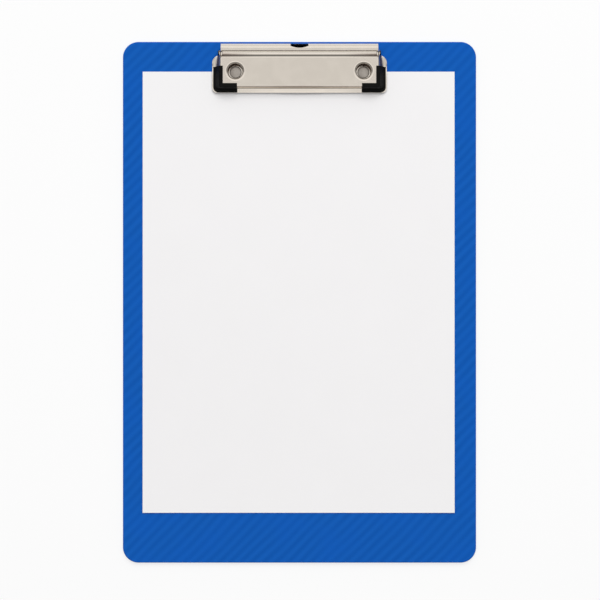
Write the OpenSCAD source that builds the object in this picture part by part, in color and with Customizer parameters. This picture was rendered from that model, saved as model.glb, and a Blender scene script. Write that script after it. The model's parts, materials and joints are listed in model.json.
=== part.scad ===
// Flat clipboard with a low sprung clip and one sheet of paper.
// The board lies on its back. Z is up, out of the writing face, and +Y points at the clip end.
// The origin is the middle of the board's underside.

/* [Board] */
// Width of the board
board_w = 238; // [200:1:260]
// Length of the board, clip end to foot
board_l = 351; // [340:1:400]
// Thickness of the board
board_t = 3; // [2.6:0.1:4]
// Radius of the board's corners
board_corner_r = 10.5; // [4:0.5:20]

/* [Sheet] */
// Width of the sheet
sheet_w = 210; // [150:1:216]
// Length of the sheet
sheet_l = 297; // [200:1:300]
// Thickness of the sheet
sheet_t = 0.11; // [0.08:0.01:0.12]
// Distance from the board's clip end to the sheet's top edge
sheet_inset = 20.2; // [18:0.1:24]
// How far the sheet lies off the middle of the board
sheet_shift = -0.6; // [-2:0.1:2]

/* [Clip] */
// Width of the clip's flat top panel
clip_w = 105.8; // [90:0.2:120]
// Distance from the board's clip end to the back of the clip
clip_inset = 2.4; // [1:0.1:6]
// Thickness of the clip's steel sheet
steel_t = 0.8; // [0.6:0.05:0.9]
// Distance from the back of the clip to the front edge of the top panel
panel_reach = 28.7; // [26:0.1:34]
// How far each side wall of the jaw leans out
side_flare = 3.6; // [2.5:0.1:4]
// How far the front wall of the jaw leans out
front_flare = 0.8; // [0.4:0.1:2]
// Width of the flat brim round the foot of the jaw's walls
brim_w = 2.2; // [2:0.1:3.5]
// Radius of the brim's front corners
brim_corner_r = 3; // [2.2:0.1:4]
// Radius of the brim's back corners
brim_back_r = 5; // [3.6:0.1:6]
// Height of the brim's underside above the board's face
brim_lift = 1.05; // [0.95:0.05:1.4]
// Distance from the back of the clip to the back edge of the brim
brim_setback = 7.1; // [6.6:0.1:8]

/* [Hinge] */
// Distance from the back of the clip to the hinge axis
hinge_setback = 6.1; // [5.8:0.05:6.4]
// Height of the hinge axis above the board's face
hinge_height = 4.4; // [4.35:0.05:5]
// Diameter of the hinge pin
pin_d = 2.4; // [2:0.1:2.6]
// Clearance all round the pin in its ears
pin_clearance = 0.05; // [0.03:0.01:0.08]
// Diameter of the pin's peened heads
pin_head_d = 3.6; // [3.2:0.1:4]
// Thickness of each peened head
pin_head_t = 0.7; // [0.4:0.1:1]
// Gap between the pin's heads and the jaw's ears
head_gap = 0.1; // [0.05:0.01:0.2]
// Gap between the pin's heads and the back ends of the jaw's walls
wall_gap = 0.3; // [0.2:0.05:0.5]
// Inner radius of the jaw's roll round the springs
roll_r = 2.7; // [2.6:0.05:2.8]
// Gap between the jaw's roll and the back cover above it
cover_gap = 0.2; // [0.15:0.05:0.3]
// How far the back cover's front edge lies behind the hinge axis
cover_setback = 1.1; // [0.9:0.05:1.3]
// Radius of the back cover's rounded edge
cover_r = 3.5; // [2:0.1:4]
// Where the roll's back edge ends, as degrees up from level
roll_back_angle = 45; // [44:1:52]
// Where the roll meets the step to the panel, as degrees up from level at the back
roll_front_angle = 128; // [124:1:132]
// Radius of the hollow between the roll and the panel
step_r = 2; // [1.4:0.1:2.4]
// Gap between the back plate's ears and the jaw's parts beside them
ear_gap = 0.3; // [0.2:0.05:0.5]
// Radius of the jaw's ears round the pin
jaw_ear_r = 2; // [1.9:0.05:2.2]
// Radius of the back plate's ears round the pin
base_ear_r = 2.3; // [2.1:0.05:2.5]

/* [Notch] */
// Width of the notch in the middle of the back cover
notch_w = 11.9; // [6:0.1:20]
// Depth of the notch from the back of the clip
notch_depth = 3.2; // [2:0.1:4]
// Radius of the notch's rounded front edge
notch_r = 14.3; // [12:0.1:30]
// How far the notch reaches down from the top of the back cover
notch_drop = 2.4; // [1.6:0.1:4]

/* [Springs] */
// Diameter of the spring wire
wire_d = 0.8; // [0.6:0.05:0.85]
// Radius of the coil, to the middle of the wire
coil_r = 2; // [1.9:0.05:2.05]
// Distance along the pin from turn to turn
coil_pitch = 1.4; // [1.3:0.05:1.8]
// Number of whole turns besides the part turn between the legs
coil_turns = 4; // [2:1:8]
// Distance of each coil's middle from the middle of the clip
coil_offset = 27; // [20:1:40]
// Length of the leg that presses up on the jaw's roll
jaw_leg = 3; // [2.4:0.1:3.1]

/* [Rivets] */
// Distance of each rivet from the side edge of the top panel
rivet_edge = 9.9; // [8.6:0.1:14]
// Distance of the rivets from the back of the clip
rivet_setback = 18.35; // [17:0.05:20]
// Diameter of the rivet's shank
rivet_d = 3.4; // [3:0.1:4]
// Clearance round the shank
rivet_clearance = 0.05; // [0.03:0.01:0.1]
// Diameter of the rivet's head
rivet_head_d = 8; // [6.8:0.1:8.4]
// Height of the rivet's head
rivet_head_h = 1.1; // [0.8:0.1:1.4]
// Height of the low crown on the head
rivet_crown_h = 0.35; // [0.25:0.05:0.5]
// Radius of the dimple in the head
dimple_r = 1.6; // [1:0.1:2]
// Depth of the dimple
dimple_depth = 0.35; // [0.2:0.05:0.5]
// Diameter of the flange at the back of the board
flange_d = 7.6; // [6:0.1:8]
// Thickness of that flange
flange_t = 0.8; // [0.5:0.1:1]
// Distance that the flange lies in from the board's underside
flange_recess = 0.1; // [0.05:0.05:0.3]
// Gap round the flange in its recess
flange_gap = 0.5; // [0.3:0.1:1]
// Width of the back plate's tabs under the rivets
tab_w = 10.4; // [9:0.1:12]
// Gap between the tabs and the sheet's cut-outs
tab_gap = 0.4; // [0.2:0.1:1]
// Distance from the back of the clip to the back plate's front edge between the tabs
floor_reach = 13.2; // [11:0.1:15]

/* [Access holes] */
// Diameter of the holes over the rivets
hole_d = 9.6; // [8:0.1:10]
// Outer radius of the bend at the rim of each hole
rim_r = 2; // [1.2:0.1:2.4]

/* [Lift] */
// Width of the raised finger lift in the brim
lift_w = 35; // [20:1:50]
// Height of the lift at its middle
lift_h = 1.2; // [0.6:0.1:1.6]

/* [Corner grips] */
// Thickness of the rubber over the steel
grip_t = 0.7; // [0.5:0.05:0.9]
// How far the rubber reaches past the brim's front edge
grip_rim = 0.4; // [0.3:0.05:0.8]
// Width of the steel that shows beside the rubber along the brim's side edges
lip_show = 0.7; // [0.4:0.1:1]
// Gap between the rubber's foot and the sheet
grip_gap = 0.02; // [0.01:0.01:0.05]
// Distance from the back of the clip to the back of the grips
grip_setback = 14.9; // [13:0.1:18]
// Width of the rubber that lies on the panel's side edge
grip_side_lap = 1.3; // [0.6:0.1:1.6]
// Width of the rubber that lies on the panel's front edge
grip_front_lap = 2.2; // [1:0.1:3]
// Length of the grip's front leg, from the panel's side edge inwards
grip_front_leg = 11.1; // [6:0.1:14]
// Width of the rubber under the brim
grip_foot_w = 4; // [3.4:0.1:6]

/* [Hidden] */
$fn = 96;
eps = 0.01;

// Colours
board_blue = [0.09, 0.36, 0.71];
paper_white = [0.94, 0.93, 0.93];
nickel = [0.80, 0.77, 0.73];
black_steel = [0.10, 0.10, 0.11];
rubber_black = [0.09, 0.09, 0.08];

// Heights
face_z = board_t;
floor_z = face_z + steel_t;
hinge_z = face_z + hinge_height;
brim_z = face_z + brim_lift;
grip_foot_z = face_z + sheet_t + grip_gap;

// Places along Y
clip_y = board_l / 2 - clip_inset;
hinge_y = clip_y - hinge_setback;
rivet_y = clip_y - rivet_setback;
panel_front_y = clip_y - panel_reach;
brim_front_y = panel_front_y - front_flare - brim_w;
sheet_top_y = board_l / 2 - sheet_inset;

// Places along X
panel_half = clip_w / 2;
base_half = panel_half - ear_gap;
roll_half = base_half - steel_t - ear_gap;
jaw_ear_x = panel_half + 0.1;
rivet_x = panel_half - rivet_edge;
brim_half = panel_half + side_flare + brim_w;
grip_half = brim_half - lip_show;

// The jaw's roll, step and panel
roll_out_r = roll_r + steel_t;
step_centre = (roll_out_r + step_r) * [cos(roll_front_angle), sin(roll_front_angle)];
panel_z = hinge_z + step_centre.y - step_r;
panel_back_y = hinge_y + step_centre.x;
brim_back_y = clip_y - brim_setback;
wall_back_y = hinge_y - pin_head_d / 2 - wall_gap;
wall_h = panel_z - brim_z;

// How far bends, rims and the lift run on into what they join
tuck = 0.05;
rim_lap = 0.3;
lift_lap = 0.3;

// The back cover
cover_top_z = hinge_z + roll_out_r + cover_gap + steel_t;
cover_front_y = hinge_y + cover_setback;
cover_arc = [clip_y - cover_r, cover_top_z - cover_r];

// The springs
wire_r = wire_d / 2;
leg_down_angle = 240;
leg_up_angle = 70;
rings_per_turn = 8;
wire_sides = 6;
coil_sweep = leg_down_angle - leg_up_angle + 360 * coil_turns;
coil_rings = ceil(coil_sweep / 360 * rings_per_turn);
coil_length = coil_pitch * coil_sweep / 360;

// Draws its children, laid out in a plane of Y and Z about a point, across the clip along X
module across(at = [0, 0]) {
    translate([0, at.x, at.y]) rotate([90, 0, 90]) children();
}

module both_sides() {
    children();
    mirror([1, 0, 0]) children();
}

// A plate with square corners between two corner points
module slab(low, high) {
    translate(low) cube(high - low);
}

// A stretch of bent sheet round an axis along X
module bend(at, r, width, from, to) {
    across(at) rotate([0, 0, from]) rotate_extrude(angle = to - from)
        translate([r, -width / 2]) square([steel_t, width]);
}

module rounded_plate(w, l, r) {
    square([w - 2 * r, l], center = true);
    square([w, l - 2 * r], center = true);
    for (x = [-1, 1], y = [-1, 1]) translate([x * (w / 2 - r), y * (l / 2 - r)]) circle(r);
}

module board() {
    color(board_blue) difference() {
        linear_extrude(board_t) rounded_plate(board_w, board_l, board_corner_r);
        both_sides() translate([rivet_x, rivet_y, 0]) {
            translate([0, 0, -1]) cylinder(d = rivet_d + 2 * rivet_clearance, h = board_t + 2);
            translate([0, 0, -1]) cylinder(d = flange_d + 2 * flange_gap, h = 1 + flange_recess + flange_t);
        }
    }
}

// The sheet has a round cut-out for each tab, hidden under the jaw
module paper_sheet() {
    color(paper_white) translate([0, 0, face_z]) linear_extrude(sheet_t) difference() {
        translate([sheet_shift - sheet_w / 2, sheet_top_y - sheet_l]) square([sheet_w, sheet_l]);
        for (x = [-rivet_x, rivet_x]) {
            translate([x, rivet_y]) circle(d = tab_w + 2 * tab_gap);
            translate([x - tab_w / 2 - tab_gap, rivet_y]) square([tab_w + 2 * tab_gap, 10]);
        }
    }
}

module pin_bore() {
    across([hinge_y, hinge_z])
        cylinder(d = pin_d + 2 * pin_clearance, h = 2 * panel_half + 20, center = true);
}

// Outline of an ear seen from the side, about the hinge axis
module base_ear() {
    across([hinge_y, hinge_z]) translate([0, 0, base_half - steel_t]) linear_extrude(steel_t) {
        circle(base_ear_r);
        translate([-base_ear_r, face_z - hinge_z]) square([base_ear_r + hinge_setback, hinge_z - face_z]);
    }
}

// Upright cutter for the notch, grown all round by a gap
module notch_cutter(gap = 0) {
    intersection() {
        translate([0, clip_y - notch_depth + notch_r, cover_top_z - notch_drop]) cylinder(r = notch_r + gap, h = 20);
        slab([-notch_w / 2 - gap, clip_y - notch_depth - gap - 1, hinge_z], [notch_w / 2 + gap, clip_y + 1, 40]);
    }
}

module base_plate() {
    color(nickel) difference() {
        union() {
            slab([-base_half, clip_y - floor_reach, face_z], [base_half, clip_y, floor_z]);
            slab([-base_half, clip_y - steel_t, face_z], [base_half, clip_y, cover_arc.y]);
            bend(cover_arc, cover_r - steel_t, 2 * base_half, 0, 90);
            slab([-base_half, cover_front_y, cover_top_z - steel_t], [base_half, cover_arc.x, cover_top_z]);
            both_sides() {
                base_ear();
                translate([rivet_x, rivet_y, face_z]) cylinder(d = tab_w, h = steel_t);
                slab([rivet_x - tab_w / 2, rivet_y, face_z], [rivet_x + tab_w / 2, clip_y - steel_t, floor_z]);
            }
        }
        pin_bore();
        notch_cutter();
        both_sides() translate([rivet_x, rivet_y, face_z - 1])
            cylinder(d = rivet_d + 2 * rivet_clearance, h = steel_t + 2);
    }
}

// A level slice of the jaw's walls: grow widens it, and share runs from 0 at the brim to 1 at the panel
module wall_slice(share, grow = 0, back = 0) {
    half = panel_half + side_flare * (1 - share) + grow;
    front = panel_front_y - front_flare * (1 - share) - grow;
    r = 1.2 + 1.2 * (1 - share) + max(grow, -1);
    translate([0, 0, brim_z + wall_h * share]) linear_extrude(eps) {
        translate([-half, front + r]) square([2 * half, brim_back_y + back - front - r]);
        translate([-half + r, front]) square([2 * half - 2 * r, r]);
        for (x = [r - half, half - r]) translate([x, front + r]) circle(r, $fn = 32);
    }
}

// The space inside the outer faces of the jaw's walls and panel
module wall_block(grow = 0, back = 0, top = 1) {
    hull() {
        wall_slice(0, grow, back);
        translate([0, 0, -eps]) wall_slice(top, grow, back);
    }
}

// Flat brim: straight back edge with round corners, and round front corners.
// Aside and ahead widen it at its sides and in front.
module brim_outline(aside = 0, ahead = 0) {
    w = brim_half + aside;
    front = brim_front_y - ahead;
    back = brim_back_y;
    front_r = brim_corner_r + ahead;
    translate([-w, front + front_r]) square([2 * w, back - brim_back_r - front - front_r]);
    translate([-w + front_r, front]) square([2 * (w - front_r), front_r]);
    translate([-w + brim_back_r, back - brim_back_r]) square([2 * (w - brim_back_r), brim_back_r]);
    for (x = [-1, 1]) {
        translate([x * (w - front_r), front + front_r]) circle(front_r);
        translate([x * (w - brim_back_r), back - brim_back_r]) circle(brim_back_r);
    }
}

// The finger lift is an arch in the brim, so its radius follows from its width and height
lift_r = (lift_w * lift_w / 4 + lift_h * lift_h) / (2 * lift_h);
module lift_solid(r) {
    intersection() {
        translate([0, 0, brim_z + steel_t + lift_h - lift_r]) rotate([90, 0, 0])
            cylinder(r = r, h = 400, center = true, $fn = 360);
        slab([-lift_w / 2, brim_front_y, brim_z], [lift_w / 2, panel_front_y - front_flare + tuck, panel_z]);
    }
}

module hole_rim() {
    rim_out = hole_d / 2 + rim_r;
    translate([rivet_x, rivet_y, panel_z - rim_r]) rotate_extrude() intersection() {
        translate([rim_out, 0]) difference() {
            circle(rim_r);
            circle(rim_r - steel_t);
        }
        translate([hole_d / 2, 0]) square([rim_r + eps, rim_r]);
    }
}

// Ear of the jaw round the pin, and its arm forward to the side wall
module jaw_ear() {
    across([hinge_y, hinge_z]) translate([0, 0, jaw_ear_x]) linear_extrude(steel_t) {
        circle(jaw_ear_r);
        translate([-(hinge_y - wall_back_y) - 2, -jaw_ear_r])
            square([hinge_y - wall_back_y + 2, 2 * jaw_ear_r]);
    }
}

module jaw_plate() {
    inner_top = (wall_h - steel_t) / wall_h;
    color(nickel) difference() {
        union() {
            bend([hinge_y, hinge_z], roll_r, 2 * roll_half, roll_back_angle, roll_front_angle);
            bend([panel_back_y, hinge_z + step_centre.y], step_r, 2 * panel_half, 270, 180 + roll_front_angle);
            slab([-panel_half, panel_back_y - 1, panel_z - steel_t], [panel_half, panel_back_y + tuck, panel_z]);
            difference() {
                wall_block();
                wall_block(grow = -steel_t, back = 5, top = inner_top);
                slab([-100, wall_back_y, brim_z - 1], [100, brim_back_y + 10, panel_z - steel_t]);
                slab([-100, panel_back_y, panel_z - 2 * steel_t], [100, brim_back_y + 10, panel_z + 1]);
                both_sides() translate([rivet_x, rivet_y, brim_z]) cylinder(r = hole_d / 2 + rim_r - rim_lap, h = 20);
            }
            difference() {
                translate([0, 0, brim_z]) linear_extrude(steel_t) brim_outline();
                translate([0, 0, -eps]) wall_block(grow = -steel_t, back = 5);
                slab([lift_lap - lift_w / 2, brim_front_y - 1, brim_z - 1],
                    [lift_w / 2 - lift_lap, panel_front_y - front_flare - tuck, panel_z]);
            }
            difference() {
                lift_solid(lift_r);
                lift_solid(lift_r - steel_t);
            }
            both_sides() {
                hole_rim();
                jaw_ear();
            }
        }
        pin_bore();
        notch_cutter(1.5);
    }
}

module hinge_pin() {
    head_x = jaw_ear_x + steel_t + head_gap;
    color(black_steel) across([hinge_y, hinge_z]) {
        cylinder(d = pin_d, h = 2 * head_x, center = true);
        for (side = [0, 180]) rotate([0, side, 0]) translate([0, 0, head_x]) {
            cylinder(d = pin_head_d, h = pin_head_t / 2);
            translate([0, 0, pin_head_t / 2])
                cylinder(d1 = pin_head_d, d2 = pin_head_d - pin_head_t, h = pin_head_t / 2);
        }
    }
}

// The middle of the spring wire: tip of the lower leg, the coil, tip of the upper leg.
// Each point is [along the pin, back, up] from the middle of the coil.
function on_coil(turned) =
    let (a = leg_down_angle - turned)
    [coil_length * (turned / coil_sweep - 0.5), coil_r * cos(a), coil_r * sin(a)];
// The lower leg runs straight down the tangent until the wire meets the floor
leg_drop = hinge_height - steel_t - wire_r + coil_r * sin(leg_down_angle);
base_leg = leg_drop / -cos(leg_down_angle);
function leg_end(from, a, length) = from + length * [0, abs(sin(a)), cos(a) < 0 ? cos(a) : -cos(a)];
coil_path = [for (i = [0:coil_rings]) on_coil(coil_sweep * i / coil_rings)];
spring_path = concat(
    [leg_end(coil_path[0], leg_down_angle, base_leg)],
    coil_path,
    [leg_end(coil_path[coil_rings], leg_up_angle, jaw_leg)]
);
spring_last = len(spring_path) - 1;

// Least gap of the wire to itself, between points at least half a turn apart
spring_gap = min([
    for (i = [0:spring_last - 5], j = [i + 5:spring_last]) norm(spring_path[i] - spring_path[j])
]) - wire_d;
echo("least gap of a spring to itself, mm", spring_gap);  // spring_left

function unit(v) = v / norm(v);
function heading(path, i) =
    unit(unit(path[min(i + 1, len(path) - 1)] - path[max(i, 0)] + 1e-9 * [1, 0, 0])
        + unit(path[i] - path[max(i - 1, 0)] + 1e-9 * [1, 0, 0]));

// A closed tube of flat sides along a path that always turns about X
module wire(path) {
    n = wire_sides;
    last = len(path) - 1;
    points = [
        for (i = [0:last])
            let (
                along = heading(path, i),
                out = unit(cross(along, [1, 0, 0])),
                up = cross(out, along)
            )
            for (k = [0:n - 1]) path[i] + wire_r * (cos(360 * k / n) * out + sin(360 * k / n) * up)
    ];
    sides = [
        for (i = [0:last - 1], k = [0:n - 1])
            let (a = i * n + k, b = i * n + (k + 1) % n)
            for (face = [[a, a + n, b], [b, a + n, b + n]]) face
    ];
    caps = [
        for (k = [1:n - 2]) [0, k, k + 1],
        for (k = [1:n - 2]) [last * n, last * n + k + 1, last * n + k]
    ];
    polyhedron(points, concat(sides, caps));
}

module spring() {
    color(black_steel) translate([coil_offset, hinge_y, hinge_z]) wire(spring_path);
}

module spring_right() spring();

module spring_left() mirror([1, 0, 0]) spring();

module rivet() {
    cap_r = (rivet_head_d * rivet_head_d / 4 + rivet_crown_h * rivet_crown_h) / (2 * rivet_crown_h);
    color(nickel) translate([rivet_x, rivet_y, 0]) difference() {
        union() {
            translate([0, 0, floor_z]) intersection() {
                translate([0, 0, rivet_head_h - cap_r]) sphere(cap_r);
                cylinder(d = rivet_head_d, h = rivet_head_h + 1);
            }
            translate([0, 0, flange_recess]) cylinder(d = rivet_d, h = floor_z - flange_recess + eps);
            translate([0, 0, flange_recess]) cylinder(d = flange_d, h = flange_t);
        }
        translate([0, 0, floor_z + rivet_head_h + dimple_r - dimple_depth]) sphere(dimple_r);
        translate([0, 0, -1]) cylinder(d = rivet_d - 1.2, h = 1 + flange_recess + flange_t);
    }
}

module rivet_right() rivet();

module rivet_left() mirror([1, 0, 0]) rivet();

// Plan outline of a grip: a side leg and a front leg that meet at the jaw's corner
module grip_region() {
    slab([panel_half - grip_side_lap, brim_front_y - 2, 0], [brim_half + 2, clip_y - grip_setback, 40]);
    slab([panel_half - grip_front_leg, brim_front_y - 2, 0], [brim_half + 2, panel_front_y + grip_front_lap, 40]);
}

// Rubber channel round the brim, up the walls and over the panel's edges
module corner_grip() {
    color(rubber_black) intersection() {
        grip_region();
        difference() {
            union() {
                translate([0, 0, grip_t]) wall_block(grow = grip_t, back = -4);
                translate([0, 0, grip_foot_z])
                    linear_extrude(brim_z + steel_t + grip_t - grip_foot_z) brim_outline(-lip_show, grip_rim);
            }
            wall_block();
            translate([0, 0, brim_z]) linear_extrude(steel_t) brim_outline();
            translate([0, 0, -wall_h / 2]) slab(
                [-grip_half + grip_foot_w, brim_front_y - grip_rim + grip_foot_w, 0],
                [grip_half - grip_foot_w, clip_y, brim_z + wall_h / 2 + eps]
            );
        }
    }
}

module corner_grip_right() corner_grip();

module corner_grip_left() mirror([1, 0, 0]) corner_grip();

board();
paper_sheet();
base_plate();
jaw_plate();
hinge_pin();
spring_left();
spring_right();
rivet_left();
rivet_right();
corner_grip_left();
corner_grip_right();
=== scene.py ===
import json
import math

import bmesh
import bpy
from mathutils import Matrix, Vector, noise


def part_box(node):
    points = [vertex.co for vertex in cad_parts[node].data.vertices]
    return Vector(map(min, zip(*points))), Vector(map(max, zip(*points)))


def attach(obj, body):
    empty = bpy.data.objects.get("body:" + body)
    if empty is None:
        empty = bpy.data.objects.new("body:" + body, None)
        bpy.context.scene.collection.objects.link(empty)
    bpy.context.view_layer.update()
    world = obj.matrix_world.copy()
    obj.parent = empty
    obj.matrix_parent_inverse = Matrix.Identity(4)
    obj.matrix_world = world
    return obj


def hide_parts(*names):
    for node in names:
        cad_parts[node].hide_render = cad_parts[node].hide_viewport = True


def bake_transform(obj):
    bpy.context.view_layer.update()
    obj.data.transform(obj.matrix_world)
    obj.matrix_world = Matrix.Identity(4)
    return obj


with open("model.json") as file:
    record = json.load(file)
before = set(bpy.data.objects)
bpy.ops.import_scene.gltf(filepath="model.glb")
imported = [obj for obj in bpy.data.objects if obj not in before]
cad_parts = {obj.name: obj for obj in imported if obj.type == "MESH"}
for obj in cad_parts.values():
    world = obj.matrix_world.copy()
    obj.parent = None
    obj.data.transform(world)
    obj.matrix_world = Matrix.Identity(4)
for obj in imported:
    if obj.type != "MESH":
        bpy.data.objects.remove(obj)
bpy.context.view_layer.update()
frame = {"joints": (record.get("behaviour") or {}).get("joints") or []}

MM = 0.001


# ================================================================ sizes, in millimetres
def box_mm(node):
    """Lowest and highest corners of a solid of the frame."""
    low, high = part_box(node)
    return low / MM, high / MM


BOARD_LOW, BOARD_HIGH = box_mm("board")
SHEET_LOW, SHEET_HIGH = box_mm("paper_sheet")
BASE_HIGH = box_mm("base_plate")[1]
JAW_LOW, JAW_HIGH = box_mm("jaw_plate")
PIN_HIGH = box_mm("hinge_pin")[1]
SPRING_LOW, SPRING_HIGH = box_mm("spring_right")
RIVET_LOW, RIVET_HIGH = box_mm("rivet_right")
GRIP_LOW, GRIP_HIGH = box_mm("corner_grip_right")

FACE_Z = BOARD_HIGH.z
STEEL_T = 0.8
RIVET_X = (RIVET_LOW.x + RIVET_HIGH.x) / 2
RIVET_Y = (RIVET_LOW.y + RIVET_HIGH.y) / 2
JAW_HINGE = next(joint for joint in frame["joints"] if joint["name"] == "jaw_hinge")
HINGE_Y = JAW_HINGE["pos_m"][1] / MM
HINGE_Z = JAW_HINGE["pos_m"][2] / MM

# The board
BOARD_CORNER_R = 10.5
BOARD_EDGE_R = 0.8
RIB_PITCH = 5.5
RIB_DEPTH = 0.09
RIB_WANDER = 1.5
RIB_STEPS = 8
RIB_CELL_L = 5

# The sheet's lift at its free corners and along its free end
CORNER_LIFT = 0.35
END_LIFT = 0.30

# The rivets' bores through the board and the back plate, and the recesses in the board's back
SHANK_BORE_R = 1.75
RECESS_R = 4.3
RECESS_H = 0.9

# The clip's back plate
BASE_HALF = BASE_HIGH.x
CLIP_Y = BASE_HIGH.y
COVER_TOP_Z = BASE_HIGH.z
COVER_FRONT_Y = HINGE_Y + 1.1
COVER_R = 3.5
FLOOR_BEND_R = 0.9
FLOOR_FRONT_Y = CLIP_Y - 13.2
TAB_W = 10.4
BASE_EAR_R = 2.3
NOTCH_HALF = 5.95
NOTCH_R = 14.3
NOTCH_DEPTH = 3.2
NOTCH_FOOT_Z = COVER_TOP_Z - 2.4

# The jaw
PANEL_HALF = BASE_HALF + 0.3
PANEL_FRONT_Y = CLIP_Y - 28.7
BRIM_TOP_Z = JAW_LOW.z + STEEL_T
ROLL_R = 3.5
ROLL_HALF = BASE_HALF - 1.1
ROLL_BACK = math.radians(45)
ROLL_FRONT = math.radians(128)
STEP_R = 2
STEP_Y = HINGE_Y + (ROLL_R + STEP_R) * math.cos(ROLL_FRONT)
VALLEY_Y = HINGE_Y + ROLL_R * math.cos(ROLL_FRONT)
# Painted shade on the jaw: a band in the valley in front of the roll, only towards its ends
VALLEY_UNSHADED_X = 30
VALLEY_SHADE_Y = VALLEY_Y + 0.5
VALLEY_SHADE_W = 1.6
PANEL_Z = HINGE_Z + (ROLL_R + STEP_R) * math.sin(ROLL_FRONT) - STEP_R
# Painted shade on the jaw: a thin band along the front bend
BEND_SHADE_Y = PANEL_FRONT_Y + 0.15
BEND_SHADE_W = 0.45
PANEL_CORNER_R = 1.2
PANEL_BEND_R = 1.5
FOOT_BEND_R = 0.9
PANEL_LAP = 1.15
TOP_OF_BEND = 0.36
SIDE_FOOT_OUT = 3.3
FRONT_FOOT_OUT = 0.7
SIDE_BRIM_OUT = JAW_HIGH.x - PANEL_HALF
EXTRA_BRIM = 0.5
FRONT_BRIM_OUT = PANEL_FRONT_Y - JAW_LOW.y + EXTRA_BRIM
FOOT_CORNER_R = 1.9
BRIM_CORNER_R = 3.4
BRIM_BACK_Y = CLIP_Y - 7.1
BRIM_BACK_R = 5
BRIM_DROOP = 0.75
FRONT_DROOP = 0.2
DROOP_FROM_Y = 153
# Painted shade on the jaw: the side walls darken behind the grips
WALL_SHADE_FROM_Y = 154
WALL_SHADE_L = 4
EAR_R = 2.0
EAR_OUT = 0.9
SWEEP_FROM_Y = 158.5
SWEEP_TO_Y = 169.2
HOLE_R = 4.8
HOLE_RIM_R = 2.0
LIFT_HALF = 17.5
LIFT_H = 0.5
LIFT_OUT = 0.1
PIN_BORE_R = 1.25

# The corner grips
GRIP_T = 0.7
GRIP_SIDE_LAP = 1.6
GRIP_FRONT_LAP = 2.2
GRIP_FOOT_W = 4.0
GRIP_CORNER_RADII = (0, 1.9, 2.5, 3.6)
GRIP_EDGE_CUTS = (0.2, 0.5, 0.4, 0.3, 0.2)
GRIP_BACK_Y = GRIP_HIGH.y
GRIP_INNER_X = GRIP_LOW.x

# The springs
WIRE_R = 0.4
COIL_R = 2.0
COIL_TURNS = 4
LEG_DOWN = math.radians(240)
LEG_UP = math.radians(70)
JAW_LEG = 3.0
TURN_POINTS = 24

# Rows that divide the steel and the rubber, so that bends and lifts have points to move
COVER_ROWS_X = (6, 20)
SIDE_ROWS_Y = (149, 153, 156)
FRONT_ROWS_X = (36, 26)
ROLL_ROWS_X = (9, 30)
GRIP_ROWS_Y = (150, 154)
GRIP_ROW_X = 46

# The pieces that come in pairs: the side of the middle that each lies on, and its word
HANDS = ((-1, "left"), (1, "right"))


# ================================================================ camera, light and floor
PICTURE = 600
CAMERA_HEIGHT = 0.950
MM_PER_PIXEL = 0.6735
BOARD_MIDDLE_PX = (299.5, 302.3)
SKY_BRIGHT = 1.08
SKY_DARK = 0.22
SKY_BEHIND = 0.63
SKY_HORIZON = 0.45
CARD = (0, 0.16, 0.987)
CARD_DULLS = 0.27
FLOOR_GLOW = 0.72


def make_camera():
    """Straight above the board, framed as the photograph frames it."""
    data = bpy.data.cameras.new("camera")
    half_view = PICTURE / 2 * MM_PER_PIXEL * MM
    data.lens = data.sensor_width / 2 * CAMERA_HEIGHT / half_view
    data.clip_end = 20
    camera = bpy.data.objects.new("camera", data)
    x = (PICTURE / 2 - BOARD_MIDDLE_PX[0]) * MM_PER_PIXEL * MM
    y = (BOARD_MIDDLE_PX[1] - PICTURE / 2) * MM_PER_PIXEL * MM
    camera.location = (x, y, FACE_Z * MM + CAMERA_HEIGHT)
    bpy.context.scene.collection.objects.link(camera)
    bpy.context.scene.camera = camera


class Value:
    """A socket that is reckoned with like a number: each sum adds its Math node."""

    def __init__(self, shader, socket):
        self.shader = shader
        self.socket = socket

    def math(self, operation, *others):
        return self.shader.node("ShaderNodeMath", {"operation": operation}, (self, *others))

    def __add__(self, other):
        return self.math("ADD", other)

    def __sub__(self, other):
        return self.math("SUBTRACT", other)

    def __rsub__(self, other):
        return self.math("MULTIPLY_ADD", -1, other)

    def __mul__(self, other):
        return self.math("MULTIPLY", other)

    __radd__ = __add__
    __rmul__ = __mul__

    def eased(self, low, high):
        """0 below low and 1 above high, with an eased rise between them."""
        settings = {"interpolation_type": "SMOOTHSTEP"}
        sockets = {"Value": self, "From Min": low, "From Max": high}
        return self.shader.node("ShaderNodeMapRange", settings, sockets)


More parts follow.
